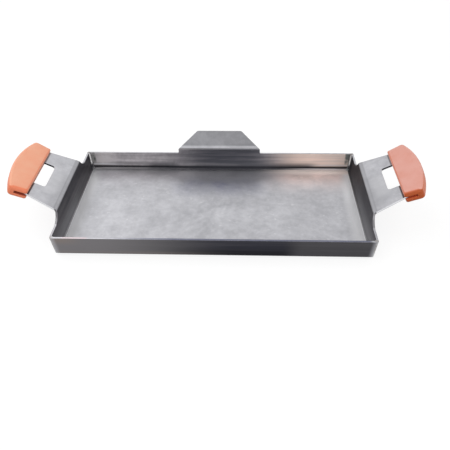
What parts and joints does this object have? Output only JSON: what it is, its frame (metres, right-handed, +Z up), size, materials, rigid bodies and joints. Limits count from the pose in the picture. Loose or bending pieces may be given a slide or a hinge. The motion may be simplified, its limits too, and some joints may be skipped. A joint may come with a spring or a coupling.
{
  "type": "camp griddle plate",
  "caption": "Low griddle tray folded from sheet steel, with flared walls, welded corners, sloped end handles with finger windows, a rear tab and slip-on silicone grips.",
  "frame": {"origin": "centre of the tray's flat underside", "axes": "+X along the tray to the right handle, +Y to the rear tab, +Z up out of the tray"},
  "size_m": [0.667, 0.2744, 0.1007],
  "materials": {
    "tray_steel": "satin",
    "weld_steel": "dressed",
    "grip_silicone": "matte"
  },
  "bodies": {
    "tray": {"griddle_tray": "tray_steel", "front_left_weld": "weld_steel", "front_right_weld": "weld_steel", "rear_left_weld": "weld_steel", "rear_right_weld": "weld_steel"},
    "grip_left": {"left_grip": "grip_silicone"},
    "grip_right": {"right_grip": "grip_silicone"}
  },
  "joints": [
    {"name": "left_grip_pull", "type": "slide", "parent": "tray", "child": "grip_left", "axis": [-0.8829, 0, 0.4695], "range_m": [0, 0.03]},
    {"name": "right_grip_pull", "type": "slide", "parent": "tray", "child": "grip_right", "axis": [0.8829, 0, 0.4695], "range_m": [0, 0.03]}
  ]
}
